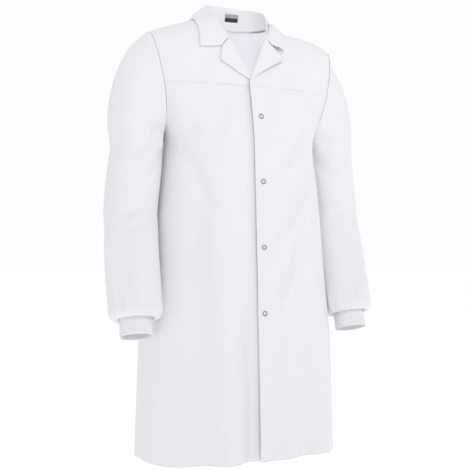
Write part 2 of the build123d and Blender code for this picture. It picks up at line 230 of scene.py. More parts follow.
def left_edge_x(z):
    t = np.clip((V_BOTTOM[1] - z) / (V_BOTTOM[1] - HEM_Z), 0, 1)
    return LEFT_EDGE_TOP_X + t * (LEFT_EDGE_HEM_X - LEFT_EDGE_TOP_X)


def spread(points, count, last=False):
    return resample(points, np.linspace(0, 1, count + 1))[: count + 1 if last else count]


def neck_line(x, side):
    """The neck opening's rim at distances from the centre."""
    z = np.full_like(x, NECK_Z)
    return np.stack([x, surface(x, z, side), z], axis=1)


def left_top():
    v = line_on_body((LEFT_EDGE_TOP_X, LEFT_EDGE_TOP_Z), LEFT_ROLL_TOP, -1)
    start, span = LEFT_ROLL_TOP[0], NECK_HALF - LEFT_ROLL_TOP[0]
    x = NECK_HALF - span * (1 - (np.linspace(start, NECK_HALF, 60) - start) / span) ** 2
    return np.concatenate([
        spread(v, V_COLS), spread(neck_line(x, -1), NECK_COLS),
        spread(ridge_line(NECK_HALF, SHOULDER_TIP_X), RIDGE_COLS, True)
    ])


def right_top():
    lap = line_on_body((UNDERLAP_X, UNDERLAP_TOP_Z), V_BOTTOM, -1)
    v = line_on_body(V_BOTTOM, RIGHT_ROLL_TOP, -1)
    neck = line_on_body(RIGHT_ROLL_TOP, (-NECK_HALF, NECK_Z), -1)
    return np.concatenate([
        spread(lap, LAP_COLS), spread(v, V_COLS - LAP_COLS - 1), spread(neck, NECK_COLS + 3),
        spread(ridge_line(-NECK_HALF, -SHOULDER_TIP_X), RIDGE_COLS, True)
    ])


def back_top():
    neck = neck_line(NECK_HALF * np.cos(np.linspace(0, pi, 200)), 1)
    return np.concatenate([
        spread(ridge_line(SHOULDER_TIP_X, NECK_HALF), RIDGE_COLS), spread(neck, BACK_NECK_COLS),
        spread(ridge_line(-NECK_HALF, -SHOULDER_TIP_X), RIDGE_COLS, True)
    ])


# ---------------------------------------------------------------- how the cloth falls
# centre line of each fold on the front or back: x and z of both ends, half width, height
FRONT_FOLDS = (
    (168, -225, 22, -372, 9, -3.2), (172, -245, 60, -372, 9, 2.6), (170, -300, 18, -520, 12, -3.0),
    (165, -350, 50, -520, 13, 2.4), (150, -430, 14, -668, 13, -3.0), (140, -500, 45, -670, 15, 2.2),
    (120, -560, 30, -800, 16, -2.4), (-170, -245, -105, -345, 10, -2.8), (-176, -300, -118, -470, 14, -2.8),
    (-150, -260, -100, -420, 16, 2.2), (-150, -380, -160, -820, 26, -4.0), (-98, -330, -100, -1030, 34, 4.6),
    (-46, -560, -40, -1030, 20, -5.0), (-205, -600, -210, -1030, 24, 3.0),
    (-128, -620, -140, -1030, 16, -2.4),
    (48, -700, 56, -1030, 22, 2.6), (96, -640, 104, -1030, 22, -3.2), (150, -560, 164, -1030, 30, 3.6),
    (-60, -200, -90, -330, 22, 2.0), (-120, -70, -150, -190, 16, -1.8), (120, -100, 165, -200, 14, -2.0),
    (70, -130, 120, -215, 14, 1.6), (-30, -250, -75, -300, 9, -1.5), (-28, -400, -80, -440, 10, -1.4),
)
BACK_FOLDS = (
    (0, -200, 0, -1030, 26, 4.0), (-60, -260, -78, -1030, 24, -4.4), (62, -300, 84, -1030, 26, -4.4),
    (-120, -360, -142, -1030, 26, 4.6), (118, -330, 146, -1030, 26, 4.4), (-178, -560, -200, -1030, 24, -4.2),
    (176, -520, 202, -1030, 24, -4.0), (-165, -240, -70, -330, 12, -2.8), (165, -235, 80, -335, 12, -2.8),
    (-150, -220, -60, -260, 11, 2.0), (150, -215, 60, -262, 11, 2.0), (-34, -620, -40, -1030, 16, 2.0),
)
# the left shoulder hangs lower beside the neck: centre x, half width, drop
SHOULDER_DIP = (102, 48, 15)
FOLD_GAIN = 2.9
# round the body: folds per turn, phase, height at the hem
FLUTES = ((7, 0.6, 2.6), (11, 2.1, 2.0), (17, 4.0, 1.2))
# fine waves: x, y and z rates per metre, phase, height
RIPPLES = (
    (38, 21, 7, 0.3, 0.55), (-29, 33, 11, 1.9, 0.5), (61, -18, 16, 2.7, 0.32), (24, 52, -19, 4.4, 0.3),
    (83, 44, 23, 5.2, 0.16), (-71, 58, 37, 0.9, 0.14),
)


def fold_height(x, z, folds):
    """Sum of soft ridges and valleys along straight centre lines."""
    total = np.zeros_like(x)
    for x0, z0, x1, z1, width, height in folds:
        along = np.array([x1 - x0, z1 - z0], float)
        length = np.hypot(*along)
        along /= length
        t = ((x - x0) * along[0] + (z - z0) * along[1]) / length
        off = (x - x0) * along[1] - (z - z0) * along[0]
        window = smooth(t, -0.05, 0.3) * (1 - smooth(t, 0.75, 1.08))
        if z1 < HEM_Z:
            window = smooth(t, -0.05, 0.45)
        total += FOLD_GAIN * height * window * np.exp(-((off / width) ** 2))
    return total


def ripple(p):
    total = np.zeros(p.shape[:-1])
    for kx, ky, kz, phase, height in RIPPLES:
        bend = 0.8 * np.sin(p[..., 2] * 0.009 + phase * 2)
        turns = (kx * p[..., 0] + ky * p[..., 1] + kz * p[..., 2]) * MM
        total += height * np.sin(turns + phase + bend)
    return total


def near_snaps(p):
    """1 at a snap, falling to 0 about 40 mm away."""
    total = np.zeros(p.shape[:-1])
    for z in SNAP_Z:
        near = np.exp(-((p[..., 0] / 26) ** 2 + ((p[..., 2] - z) / 30) ** 2))
        total = np.maximum(total, near * (p[..., 1] < 0))
    return total


def drape(p):
    """How far the cloth stands from the smooth body at each point, in mm."""
    x, y, z = p[..., 0], p[..., 1], p[..., 2]
    a, b, yc = profile(z)
    angle = np.arctan2((y - yc) / b, x / a)
    fall = smooth(-z, 260, 1015)
    total = np.zeros_like(x)
    for count, phase, height in FLUTES:
        total += height * fall * np.sin(count * angle + phase + 0.6 * np.sin(z * 0.006 + phase))
    front = 1 - smooth(y, -45, -10)
    back = smooth(y, 10, 45)
    total += front * fold_height(x, z, FRONT_FOLDS) + back * fold_height(x, z, BACK_FOLDS)
    total += ripple(p)
    held = 1 - 0.75 * smooth(z, -130, -30)
    seam = 1 - 0.5 * np.exp(-(((z - YOKE_Z) / 9) ** 2))
    edge = 1 - 0.7 * np.exp(-((x / 24) ** 2)) * (y < 0) * smooth(z, -760, -700)
    return total * held * seam * edge * (1 - 0.92 * near_snaps(p))


def draped(p, inset=0.0):
    n = outward(p)
    d = drape(p) - inset
    out = p + n * d[..., None]
    dip = np.exp(-(((p[..., 0] - SHOULDER_DIP[0]) / SHOULDER_DIP[1]) ** 2)) * smooth(p[..., 2], -110, -20)
    out[..., 2] -= SHOULDER_DIP[2] * dip
    return out


# ---------------------------------------------------------------- mesh helpers
def make_object(name, vertices, faces, uvs=None, smooth_shade=True):
    mesh = bpy.data.meshes.new(name)
    mesh.from_pydata([tuple(v) for v in np.asarray(vertices) * MM], [], faces)
    mesh.validate()
    if uvs is not None:
        layer = mesh.uv_layers.new(name="cloth")
        index = np.empty(len(mesh.loops), int)
        mesh.loops.foreach_get("vertex_index", index)
        layer.data.foreach_set("uv", (np.asarray(uvs)[index] * MM).ravel())
    mesh.polygons.foreach_set("use_smooth", [smooth_shade] * len(mesh.polygons))
    obj = bpy.data.objects.new(name, mesh)
    bpy.context.scene.collection.objects.link(obj)
    return obj


def grid_faces(rows, cols, closed=False, flip=False):
    faces = []
    for r in range(rows - 1):
        for c in range(cols if closed else cols - 1):
            d = (c + 1) % cols
            face = (r * cols + c, r * cols + d, (r + 1) * cols + d, (r + 1) * cols + c)
            faces.append(face[::-1] if flip else face)
    return faces


def grid_uvs(grid):
    rows, cols = grid.shape[:2]
    across = np.tile(lengths(grid[rows // 2]), (rows, 1))
    v = np.stack([lengths(grid[:, c]) for c in range(cols)], axis=1)
    return np.stack([across, v], axis=-1).reshape(-1, 2)


def grid_object(name, grid, flip=False, closed=False, thickness=CLOTH, levels=1, corners=()):
    """A sheet of cloth from a grid of points, with thickness and a smooth surface.

    corners lists the (row, column) of points on its rim that stay sharp.
    """
    rows, cols = grid.shape[:2]
    obj = make_object(name, grid.reshape(-1, 3), grid_faces(rows, cols, closed, flip), grid_uvs(grid))
    if corners:
        sharp = obj.data.attributes.new("crease_vert", "FLOAT", "POINT")
        for r, c in corners:
            sharp.data[(r % rows) * cols + c % cols].value = 1.0
    if levels:
        sub = obj.modifiers.new("smooth", "SUBSURF")
        sub.levels = sub.render_levels = levels
        sub.boundary_smooth = "PRESERVE_CORNERS"
    if thickness:
        solid = obj.modifiers.new("cloth", "SOLIDIFY")
        solid.thickness = thickness * MM
        solid.offset = -1
    return obj


def refine(grid, closed):
    """Twice as many lines each way, as smooth as a cubic B-spline through averaged points."""
    def once(g, wrap):
        before = np.roll(g, 1, axis=0)
        after = np.roll(g, -1, axis=0)
        corner = (before + 6 * g + after) / 8
        middle = (g + after) / 2
        if not wrap:
            corner[0], corner[-1] = g[0], g[-1]
        out = np.stack([corner, middle], axis=1).reshape(-1, *g.shape[1:])
        return out if wrap else out[:-1]
    return once(once(grid, False).transpose(1, 0, 2), closed).transpose(1, 0, 2)


def grid_normals(grid, flip):
    """Smooth normals of a tube's grid."""
    down = np.gradient(grid, axis=0)
    across = np.roll(grid, -1, axis=1) - np.roll(grid, 1, axis=1)
    n = np.cross(across, down)
    n /= np.maximum(np.linalg.norm(n, axis=2, keepdims=True), 1e-9)
    return -n if flip else n


def tube_part(name, grid, rows, flip, thickness=CLOTH):
    """Part of a tube of cloth, outer and inner wall, that meets its neighbour without a mark."""
    normals = grid_normals(grid, flip)
    outer, inner = grid[rows], (grid - normals * thickness)[rows]
    count, cols = outer.shape[:2]
    faces = grid_faces(count, cols, True, flip)
    base = count * cols
    faces += [tuple(i + base for i in f[::-1]) for f in faces]
    for row in (0, count - 1):
        for c in range(cols):
            d = (c + 1) % cols
            quad = (row * cols + c, row * cols + d, base + row * cols + d, base + row * cols + c)
            faces.append(quad if (row == 0) == flip else quad[::-1])
    uv = grid_uvs(outer)
    obj = make_object(name, np.concatenate([outer, inner]).reshape(-1, 3), faces, np.concatenate([uv, uv]))
    wall = np.concatenate([normals[rows], -normals[rows]]).reshape(-1, 3)
    obj.data.normals_split_custom_set_from_vertices([tuple(v) for v in wall])
    return obj


def mesh_tree(obj):
    """A finished piece's surface, in metres."""
    graph = bpy.context.evaluated_depsgraph_get()
    graph.update()
    return BVHTree.FromObject(obj, graph)


def hit(surface_tree, start, direction):
    """Where a ray from a point in mm meets a surface, in mm, or None."""
    place, _, _, _ = surface_tree.ray_cast(Vector(start) * MM, Vector(direction))
    return None if place is None else np.array(place) / MM


def insert_loops(grid, axis, at_start, at_end, dips=(0.5, 2.2), dip=0.8):
    """Extra lines of points close to an edge, with the edge itself pressed in."""
    g = grid if axis == 0 else grid.transpose(1, 0, 2)
    normal = outward(g)
    def near(edge, inner):
        run = inner - edge
        size = np.linalg.norm(run, axis=-1, keepdims=True)
        run = run / np.maximum(size, 1e-6)
        return [edge + run * np.minimum(d, size * 0.5) for d in dips]
    out = list(g)
    if at_start:
        extra = near(g[0], g[1])
        out = [g[0] - normal[0] * dip, extra[0] - normal[0] * dip * 0.3, extra[1]] + out[1:]
    if at_end:
        extra = near(g[-1], g[-2])
        out = out[:-1] + [extra[1], extra[0] - normal[-1] * dip * 0.3, g[-1] - normal[-1] * dip]
    out = np.array(out)
    return out if axis == 0 else out.transpose(1, 0, 2)


def inset_line(grid, side, distance):
    """Points a given distance inside one edge of a grid: low, high, first or last."""
    g = {"low": grid.transpose(1, 0, 2), "high": grid[::-1].transpose(1, 0, 2), "first": grid,
         "last": grid[:, ::-1]}[side]
    points = []
    for line in g:
        if lengths(line)[-1] > 1.5 * distance:
            points.append(at_lengths(line, [distance])[0])
    return np.array(points)


# ---------------------------------------------------------------- body panels
def body_grids():
    left = patch(lambda z: (edge_angle(left_edge_x(z), z), 0.0), left_top())
    right = patch(lambda z: (edge_angle(UNDERLAP_X, z), -pi), right_top())
    back = patch(lambda z: (0.0, pi), back_top())
    return left, right, back


def lap_inset(p):
    """How far the right front lies under the left one."""
    x, z = p[..., 0], p[..., 2]
    depth = LAP_DEPTH + (LAP_DEPTH_LOW - LAP_DEPTH) * smooth(-z, 700, 980)
    return depth * smooth(x, -52, -20) * smooth(-z, 132, 170)


left_base, right_base, back_base = body_grids()
left_grid = draped(left_base)
right_grid = draped(right_base, lap_inset(right_base))
back_grid = draped(back_base)
back_grid[:, 0], back_grid[:, -1] = left_grid[:, -1], right_grid[:, -1]
SEAM_ROW = LOW_ROWS + CHEST_ROWS - 1


def panel(name, grid, rows, flip, edge=False, first_seam=False, top_seam=False, low_seam=False):
    """A body panel, pressed in at its seams and at its front edge."""
    part = insert_loops(grid[rows], 0, low_seam, top_seam)
    part = insert_loops(part, 1, edge, False, dip=1.3)
    part = insert_loops(part, 1, first_seam, True, dip=0.4)
    return grid_object(name, part, flip=flip)


LOWER = slice(0, SEAM_ROW + 1)
UPPER = slice(SEAM_ROW, None)
left_front = panel("left_front", left_grid, LOWER, False, edge=True, top_seam=True)
right_front = panel("right_front", right_grid, LOWER, True, edge=True, top_seam=True)
back = panel("back", back_grid, LOWER, False, first_seam=True, top_seam=True)
left_yoke = panel("left_yoke", left_grid, UPPER, False, edge=True, low_seam=True)
right_yoke = panel("right_yoke", right_grid, UPPER, True, edge=True, low_seam=True)
upper_back = panel("upper_back", back_grid, UPPER, False, first_seam=True, low_seam=True)


def facing(name, grid, flip, rows):
    """A strip of cloth just behind a front edge, lying a little nearer the front at its two edges."""
    strip = np.array([at_lengths(line, FACING_AT) for line in grid[rows]])
    depth = np.array(FACING_DEPTHS)[None, :, None]
    return grid_object(name, strip - outward(strip) * depth, flip=flip, thickness=FACING_CLOTH)


left_facing = facing("left_facing", left_grid, False, LOWER)
right_facing = facing("right_facing", right_grid, True, LOWER)

# ---------------------------------------------------------------- sleeves
SIDE_NAMES = {1: "left", -1: "right"}
CAP_PIVOT = (193.2, -292.0)
# angle from upright, near and far reach, half depth
CAP_RINGS = ((19, 5, 229, 57), (31, 4, 199, 58.5), (45, 3, 168, 60), (60, 2, 145, 61), (76, 2, 131, 61))
SLEEVE_Y = -4.0
LEFT_CAP_EASE = 10.0       # the wearer's left cap reaches less far out
# height, centre x, radius across and front to back
ARM_RINGS = ((-300, 253, 60, 61), (-360, 260, 61, 61), (-405, 265, 61, 61), (-450, 269, 60.5, 62))
ELBOW = np.array([269.0, -4.0, -450.0])
WRISTS = {1: np.array([269.0, -76.0, -692.0]), -1: np.array([-282.0, -76.0, -692.0])}
# distance before the wrist, radius, how far the ring is turned to the forearm's line
FORE_RINGS = ((200, 61.5, 0.55), (150, 61, 1), (90, 60.5, 1), (30, 59.5, 1), (14, 58.5, 1), (5, 54.5, 1),
              (0.5, 47.5, 1), (0.2, 42, 1), (3, 39, 1), (9, 38, 1))
SLEEVE_SPLIT_Z = -400.0
# rows between neighbouring rings
CAP_STEPS, ARM_STEPS, FORE_STEPS = (5, 4, 4, 3, 2), (1, 6, 5, 5), (5, 6, 7, 8, 4, 3, 2, 2, 2, 2)
PLEATS = 17


def forearm(side):
    """A wrist's centre and the direction from the elbow to it."""
    return WRISTS[side], unit(WRISTS[side] - ELBOW * [side, 1, 1])


def ring(centre, along_x, along_y, rx, ry, turns):
    return centre + rx * np.cos(turns)[:, None] * along_x + ry * np.sin(turns)[:, None] * along_y


def sleeve_grid(loop, side):
    """Rings from the armhole to the gathered wrist; the loop starts at the shoulder tip."""
    count = len(loop)
    share = lengths(np.concatenate([loop, loop[:1]]))
    start_turns = -2 * pi * share[:-1] / share[-1]
    even = -2 * pi * np.arange(count) / count
    up_y = np.array([0.0, 1.0, 0.0])
    rings = [loop]
    for i, (angle, near, far, depth) in enumerate(CAP_RINGS):
        far -= LEFT_CAP_EASE if side > 0 else 0
        reach = np.array([side * sin(radians(angle)), 0, cos(radians(angle))])
        pivot = np.array([side * CAP_PIVOT[0], SLEEVE_Y, CAP_PIVOT[1]])
        turns = start_turns + (even - start_turns) * (i + 1) / len(CAP_RINGS)
        centre = pivot + reach * (near + far) / 2
        rings.append(ring(centre, reach, up_y, (far - near) / 2, depth, turns))
    across = np.array([side, 0.0, 0.0])
    for z, x, rx, ry in ARM_RINGS:
        rings.append(ring(np.array([side * x, SLEEVE_Y, z]), across, up_y, rx, ry, even))
    wrist, lean = forearm(side)
    for back_off, radius, turn in FORE_RINGS:
        axis = unit(np.array([lean[0] * turn, lean[1] * turn, lean[2]]))
        x_dir = unit(across - axis * (across @ axis))
        y_dir = np.cross(axis, x_dir) * -side
        rings.append(ring(wrist - lean * back_off, x_dir, y_dir, radius, radius, even))
    rings = np.array(rings)
    steps = CAP_STEPS + ARM_STEPS + FORE_STEPS
    knots = np.arange(len(rings), dtype=float)
    at = np.concatenate([k + np.arange(n) / n for k, n in enumerate(steps)] + [[len(steps)]])
    flat = rings.reshape(len(rings), -1)
    smooth_rows = np.stack([hermite(at, knots, flat[:, k]) for k in range(flat.shape[1])], axis=1)
    return smooth_rows.reshape(len(at), count, 3)


# turn round the arm (0 at the outside, 90 in front) and z of both ends, half width, height
SLEEVE_FOLDS = (
    (150, -250, 60, -330, 13, -3.4), (170, -300, 80, -400, 13, -2.6), (165, -268, 75, -345, 11, 2.4),
    (130, -430, 40, -470, 10, -2.6), (140, -462, 35, -505, 10, -2.4), (120, -445, 50, -486, 9, 1.8),
    (60, -120, 55, -330, 20, 2.2), (95, -110, 100, -260, 16, -2.4), (20, -180, 10, -420, 24, -2.2),
    (75, -520, 70, -660, 18, 2.4), (45, -540, 40, -670, 15, -2.2), (110, -540, 105, -670, 15, -2.4),
    (-60, -470, -130, -520, 13, -2.4), (-90, -200, -100, -420, 22, 2.6), (-45, -420, -60, -640, 20, -2.2),
    (-150, -300, -80, -380, 13, -2.6), (5, -500, -5, -650, 18, 2.0), (-110, -560, -105, -670, 15, 2.0),
)
SLEEVE_GAIN = 1.6
SLEEVE_RADIUS = 62.0


def sleeve_folds(grid, side):
    """Move a sleeve's points in and out along its own normals."""
    rows, cols = grid.shape[:2]
    centre = grid.mean(axis=1, keepdims=True)
    out = grid - centre
    radial = unit(out)
    turn = np.degrees(np.arctan2(-radial[..., 1], radial[..., 0] * side))
    z = grid[..., 2]
    total = np.zeros((rows, cols))
    reach = SLEEVE_RADIUS * pi / 180
    for t0, z0, t1, z1, width, height in SLEEVE_FOLDS:
        for shift in (-360, 0, 360):
            dx, dz = (t1 - t0) * reach, float(z1 - z0)
            size = sqrt(dx * dx + dz * dz)
            px, pz = (turn + shift - t0) * reach, z - z0
            t = (px * dx + pz * dz) / size ** 2
            off = (px * dz - pz * dx) / size
            window = smooth(t, -0.1, 0.3) * (1 - smooth(t, 0.7, 1.1))
            total += SLEEVE_GAIN * height * window * np.exp(-((off / width) ** 2))
    total += 1.3 * ripple(grid * [1, 1.2, 1] + side * 37.0)
    row_share = np.linspace(0, 1, rows)[:, None]
    total *= smooth(row_share, 0.0, 0.1)
    gather = smooth(WRISTS[side][2] + 95 - z, 0, 90)
    wave = np.sin(PLEATS * np.radians(turn) + 1.7 * np.sin(3 * np.radians(turn)) + side)
    wave += 0.5 * np.sin(2.3 * PLEATS * np.radians(turn) + 1.0)
    size = np.linalg.norm(out, axis=2)
    total += wave * gather * np.where(size < 50, 1.1, 2.1) * smooth(size, 36, 44)
    return grid + radial * total[..., None]


def make_sleeve(side):
    label = SIDE_NAMES[side]
    rows = slice(LOW_ROWS - 1, None)
    front = (left_grid if side > 0 else right_grid)[rows, -1]
    rear = back_grid[rows, 0 if side > 0 else -1]
    grid = sleeve_folds(sleeve_grid(np.concatenate([front[::-1], rear[1:-1]]), side), side)
    fine = refine(grid, True)
    split = int(np.argmin(np.abs(fine[:, :, 2].mean(axis=1) - SLEEVE_SPLIT_Z)))
    upper = tube_part(label + "_sleeve_upper", fine, slice(0, split + 1), side < 0)
    lower = tube_part(label + "_sleeve_lower", fine, slice(split, None), side < 0)
    return upper, lower, grid


left_upper, left_lower, left_sleeve_grid = make_sleeve(1)
right_upper, right_lower, right_sleeve_grid = make_sleeve(-1)

# ---------------------------------------------------------------- knitted cuffs
CUFF_INSET = 8.0
RIBS = 54
POINTS_PER_RIB = 6
RIB_HEIGHT = 0.75
# distance down the cuff, radius: outer wall down, over the folded end, inner wall up
CUFF_WALL = ((0, 36.4), (6, 36.2), (14, 35.6), (22, 35.2), (30, 35.4), (38, 36.0), (43, 36.5), (45.4, 36.2),
             (46.2, 35.2), (45.4, 34.2), (42, 33.8), (30, 33.2), (14, 33.3), (0, 34.0))


def make_cuff(side):
    """A tube of rib knit, outside, folded end and inside."""
    wrist, lean = forearm(side)
    x_dir = unit(np.array([1.0, 0, 0]) - lean * lean[0])
    y_dir = np.cross(lean, x_dir)
    turns = np.linspace(0, 2 * pi, RIBS * POINTS_PER_RIB, endpoint=False)
    rows = []
    for down, radius in CUFF_WALL:
        outer = 1.0 if radius > 35.0 else -0.7
        rib = RIB_HEIGHT * outer * np.tanh(2.2 * np.cos(RIBS * turns))
        sway = 0.9 * np.sin(2 * turns + side) * smooth(down, 5, 46) + 0.5 * np.sin(5 * turns + 1.3)
        r = radius + rib * (0.35 if 45 < down else 1.0) * 0.5 + sway
        centre = wrist + lean * (down - CUFF_INSET)
        rows.append(centre + (r * np.cos(turns))[:, None] * x_dir + (r * np.sin(turns))[:, None] * y_dir)
    return grid_object(SIDE_NAMES[side] + "_knit_cuff", np.array(rows), closed=True, thickness=0, flip=True)


left_cuff = make_cuff(1)
right_cuff = make_cuff(-1)


# ---------------------------------------------------------------- collar and lapels
def body_tree():
    """The coat's surface, to keep the collar's leaf clear of it."""
    points, faces, start = [], [], 0
    for grid, closed, flip in (
            (left_grid, False, False), (right_grid, False, True), (back_grid, False, False),
            (left_sleeve_grid, True, False), (right_sleeve_grid, True, True)):
        faces += [[i + start for i in f] for f in grid_faces(*grid.shape[:2], closed, flip)]
        points.append(grid.reshape(-1, 3))
        start += len(points[-1])
    return BVHTree.FromPolygons([tuple(v) for v in np.concatenate(points)], faces)


coat_tree = body_tree()
LIFT_REACH = 40.0          # points further than this from the coat stay where they are
LIFT_DEPTH = 25.0          # and so do points deeper inside it than this


def lift_off(points, gap):
    """Move points that are inside the coat, or too near it, out to a gap."""
    flat = points.reshape(-1, 3)
    gaps = np.broadcast_to(gap, points.shape[:-1]).reshape(-1)
    out = flat.copy()
    for i, p in enumerate(flat):
        place, normal, _, _ = coat_tree.find_nearest(Vector(p), LIFT_REACH)
        if place is None:
            continue
        if -LIFT_DEPTH < (Vector(p) - place).dot(normal) < gaps[i]:
            out[i] = np.array(place + normal * gaps[i])
    return out.reshape(points.shape)


def front_point(x, z, gap=0.0):
    p = np.array([x, float(surface(x, z, -1)), z])
    return p + outward(p) * gap


def roll_point(top, side, along, out):
    """X and z of a point at distances along a roll line and out from it."""
    roll = unit(np.subtract(top, V_BOTTOM))
    across = np.array([roll[1], -roll[0]]) * side
    return V_BOTTOM[0] + roll[0] * along + across[0] * out, V_BOTTOM[1] + roll[1] * along + across[1] * out


# upper ends of the roll lines that the lapels turn on
LEFT_TOP, RIGHT_TOP = (60.0, 10.0), RIGHT_ROLL_TOP
# lapel outlines, as distances along the roll line and out from it: foot, belly, tip, notch
LEFT_RIM = np.array([(0, 0), (24, 14.5), (55, 34), (88, 57), (107, 18)], float)
RIGHT_RIM = np.array([(0, 0), (20, 15.5), (45, 32), (67, 46), (94, 23)], float)
LEFT_GORGE, RIGHT_GORGE = 113.0, 103.0
TIP_ROW = 19
COLLAR_CLOTH = 1.3
FOLD_OUT, FOLD_HEIGHT = 2.2, 4.6
# section of the rolled fold: distance out, height over the coat
ROLL_SECTION = ((0.0, -1.5), (-1.7, 0.2), (-2.1, 2.0), (-1.2, 3.8), (0.6, 4.6))


def lapel_grid(top, side, rim_line, gorge, lift):
    """Rows up the roll line; columns wrap round the fold and out to the lapel's edge."""
    run = lengths(rim_line)
    tip = run[3] / run[4]
    rows = []
    for t in np.concatenate([np.linspace(0, tip, TIP_ROW + 1), np.linspace(tip, 1, 9)[1:]]):
        foot = gorge * t
        rim_along, reach = (np.interp(t * run[-1], run, rim_line[:, k]) for k in (0, 1))
        # the fold is smaller at its foot, where the lapel begins
        slim, low = min(1.0, 0.25 + t * 4), min(1.0, 0.35 + t * 4)
        line = [(foot, out * slim, height * low) for out, height in ROLL_SECTION]
        for w in np.linspace(0.08, 1, 10):
            a = foot + (rim_along - foot) * w
            o = FOLD_OUT + (reach - FOLD_OUT) * w if reach > FOLD_OUT else reach * w
            bend = FOLD_HEIGHT + lift * o - 2.4 * smooth(w, 0.0, 1.0)
            line.append((a, o, bend * low))
        rows.append([front_point(*roll_point(top, side, a, o), h) for a, o, h in line])
    return np.array(rows)


left_lapel_grid = lapel_grid(LEFT_TOP, 1, LEFT_RIM, LEFT_GORGE, 0.10)
right_lapel_grid = lapel_grid(RIGHT_TOP, -1, RIGHT_RIM, RIGHT_GORGE, 0.02)
LAPEL_CORNERS = ((TIP_ROW, -1), (-1, -1))
left_lapel = grid_object("left_lapel_cloth", left_lapel_grid, thickness=COLLAR_CLOTH, corners=LAPEL_CORNERS)
right_lapel = grid_object("right_lapel_cloth", right_lapel_grid, flip=True, thickness=COLLAR_CLOTH,
                          corners=LAPEL_CORNERS)

# curves of the collar, wearer's right to left: where it meets the neck, its fold and its edge
LEFT_END = roll_point(LEFT_TOP, 1, LEFT_GORGE, 0)
RIGHT_END = roll_point(RIGHT_TOP, -1, RIGHT_GORGE, 0)
LEFT_NOTCH = roll_point(LEFT_TOP, 1, *LEFT_RIM[-1])
RIGHT_NOTCH = roll_point(RIGHT_TOP, -1, *RIGHT_RIM[-1])
NECK_SEAM = [front_point(*RIGHT_END, -1), (-76, -80, -34), (-76.5, -40, 4), (-77.5, -8, 8), (-60, 45.5, 3),
             (0, 63, 2.5), (60, 45.5, 2.5), (77, -8, 0), (61, -46, 1), (47, -72, -20),
             front_point(*LEFT_END, -1)]
FOLD = [front_point(*RIGHT_END, 4.5), (-75, -80, -28), (-78, -46, 9), (-75, -3, 39), (-62, 32, 51),
        (-32, 50, 55), (0, 54, 56), (32, 50, 54), (60, 32, 50), (71, -3, 36), (62, -36, 8), (47, -66, -20),
        front_point(*LEFT_END, 4.5)]
EDGE = [front_point(*RIGHT_NOTCH, 3.5), (-107, -92, -79), (-133, -88, -80), (-127, -43, -28), (-121, -3, -1),
        (-112, 37, 4), (-80, 67, 3), (-40, 78, 2), (0, 80, 2), (40, 78, 2), (76, 66, 0), (96, 40, -7),
        (96, -4, -13), (88, -55, -36), (76, -98, -70), (60, -104, -66), front_point(*LEFT_NOTCH, 5.5)]
# share of the collar's length at each of those points
FOLD_AT = (0, 0.055, 0.13, 0.25, 0.345, 0.43, 0.5, 0.57, 0.655, 0.75, 0.86, 0.94, 1)
NECK_AT = (0, 0.07, 0.15, 0.25, 0.38, 0.5, 0.62, 0.75, 0.86, 0.94, 1)
EDGE_AT = (0, 0.018, 0.038, 0.115, 0.23, 0.33, 0.40, 0.45, 0.5, 0.55, 0.60, 0.67, 0.77, 0.885, 0.962, 0.98, 1)
TIPS = (2, 14)             # the leaf's two tips among the edge's points
# columns between neighbouring knots of the edge
COLLAR_STEPS = (4, 5, 10, 9, 7, 6, 5, 5, 5, 5, 6, 7, 9, 10, 4, 4)
COLLAR_T = np.concatenate(
    [np.linspace(a, b, n, endpoint=False) for a, b, n in zip(EDGE_AT, EDGE_AT[1:], COLLAR_STEPS)] + [[1.0]])
TIP_CORNERS = [(-1, sum(COLLAR_STEPS[:tip])) for tip in TIPS]
STAND_ROWS, LEAF_ROWS = 6, 12
LEAF = slice(STAND_ROWS + 3, None)


def along_collar(points, at, corners=False):
    """A curve along the collar; with corners, its two ends are straight up to the tips."""
    points = np.array([np.asarray(p, float) for p in points])
    at = np.array(at, float)
    if not corners:
        return np.stack([hermite(COLLAR_T, at, points[:, k]) for k in range(3)], axis=1)
    straight = np.stack([np.interp(COLLAR_T, at, points[:, k]) for k in range(3)], axis=1)
    between = slice(TIPS[0], TIPS[1] + 1)
    curved = np.stack([hermite(COLLAR_T, at[between], points[between, k]) for k in range(3)], axis=1)
    inside = (COLLAR_T >= at[TIPS[0]]) & (COLLAR_T <= at[TIPS[1]])
    return np.where(inside[:, None], curved, straight)


def collar_grid():
    """Rows from the neck seam up the stand, over the fold and down the leaf to its edge."""
    neck = along_collar(NECK_SEAM, NECK_AT)
    fold = along_collar(FOLD, FOLD_AT)
    rim = along_collar(EDGE, EDGE_AT, corners=True)
    tangent = unit(np.gradient(fold, axis=0))
    out = rim - fold
    out -= tangent * (out * tangent).sum(axis=1, keepdims=True)
    flat = unit(out * [1, 1, 0.25])
    up = np.cross(tangent, flat)
    up *= np.sign(up @ np.array([0, -0.4, 1.0]))[:, None]
    rows = []
    for w in np.linspace(0, 1, STAND_ROWS):
        lean = 2.2 * sin(pi * w)
        rows.append(neck + (fold - neck) * w - flat * (1.8 * w) - flat * lean * 0.4)
    rows[-1] = fold - flat * 1.8 - up * 1.2
    rows.append(fold - flat * 1.1 + up * 0.3)
    rows.append(fold + up * 0.8)
    rows.append(fold + flat * 1.3 + up * 0.3)
    drop = np.linalg.norm(rim - fold, axis=1)
    belly = np.clip(0.09 * drop, 0.5, 7)
    for w in np.linspace(0.06, 1, LEAF_ROWS):
        start = fold + flat * 2.2 - up * 0.6
        p = start + (rim - start) * w
        rows.append(p + (flat * 0.75 + up * 0.65) * (belly * 4 * w * (1 - w) * 0.8)[:, None])
    grid = np.array(rows)
    leaf = grid[LEAF]
    gap = np.linspace(5.0, 3.0, len(leaf))[:, None]
    grid[LEAF] = lift_off(leaf, gap)
    wave = 0.8 * np.sin(COLLAR_T * 9 * pi) * np.linspace(0, 1, len(leaf))[:, None]
    grid[LEAF] += flat[None] * wave[..., None] * 0.7
    return grid


